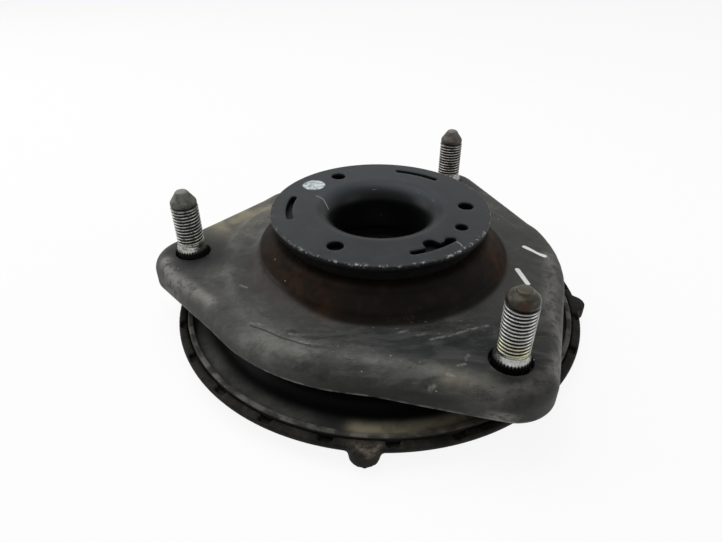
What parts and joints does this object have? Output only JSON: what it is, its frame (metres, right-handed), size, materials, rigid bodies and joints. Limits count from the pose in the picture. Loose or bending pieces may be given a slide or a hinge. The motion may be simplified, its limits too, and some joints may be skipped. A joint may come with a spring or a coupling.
{
  "type": "strut bearing",
  "caption": "Strut top mount: pressed plate with studs and rubber-bonded stop disc, over a ball bearing, a spring seat and a rubber spring pad.",
  "frame": {"origin": "on the bearing's axis, level with the flat pads round the three fixing studs", "axes": "+Z along the bearing's axis, towards the studs' tips and the stop disc; -X towards one of the three studs"},
  "size_m": [0.1674, 0.1614, 0.0523],
  "materials": {
    "black_paint": "dull black electrocoat, dusty and scuffed",
    "satin_black": "satin black coat with worn grey edges",
    "rubber": "matt moulded black rubber",
    "plastic": "moulded black, matt",
    "cage_plastic": "natural, matt",
    "zinc": "zinc plated, passivated yellowish, tarnished",
    "steel": "ground bearing steel"
  },
  "bodies": {
    "mount": {"upper_plate": "black_paint", "lower_plate": "black_paint", "stud_1": "zinc", "stud_2": "zinc", "stud_3": "zinc", "stop_disc": "satin_black", "core_cup": "black_paint", "rubber_bush": "rubber", "bearing_case": "plastic", "upper_race": "steel"},
    "ball_ring": {"ball_cage": "cage_plastic", "ball_01": "steel", "ball_02": "steel", "ball_03": "steel", "ball_04": "steel", "ball_05": "steel", "ball_06": "steel", "ball_07": "steel", "ball_08": "steel", "ball_09": "steel", "ball_10": "steel", "ball_11": "steel", "ball_12": "steel", "ball_13": "steel", "ball_14": "steel", "ball_15": "steel", "ball_16": "steel", "ball_17": "steel", "ball_18": "steel"},
    "seat": {"spring_seat": "black_paint", "spring_pad": "rubber", "lower_race": "steel", "outer_seal": "rubber", "inner_seal": "rubber"}
  },
  "joints": [
    {"name": "seat_turn", "type": "hinge", "parent": "mount", "child": "seat", "pos_m": [0, 0, -0.0125], "axis": [0, 0, 1], "continuous": true},
    {"name": "cage_turn", "type": "hinge", "parent": "mount", "child": "ball_ring", "pos_m": [0, 0, -0.0125], "axis": [0, 0, 1], "continuous": true}
  ],
  "couplings": [
    {"joint": "cage_turn", "follows": "seat_turn", "ratio": 0.5}
  ]
}
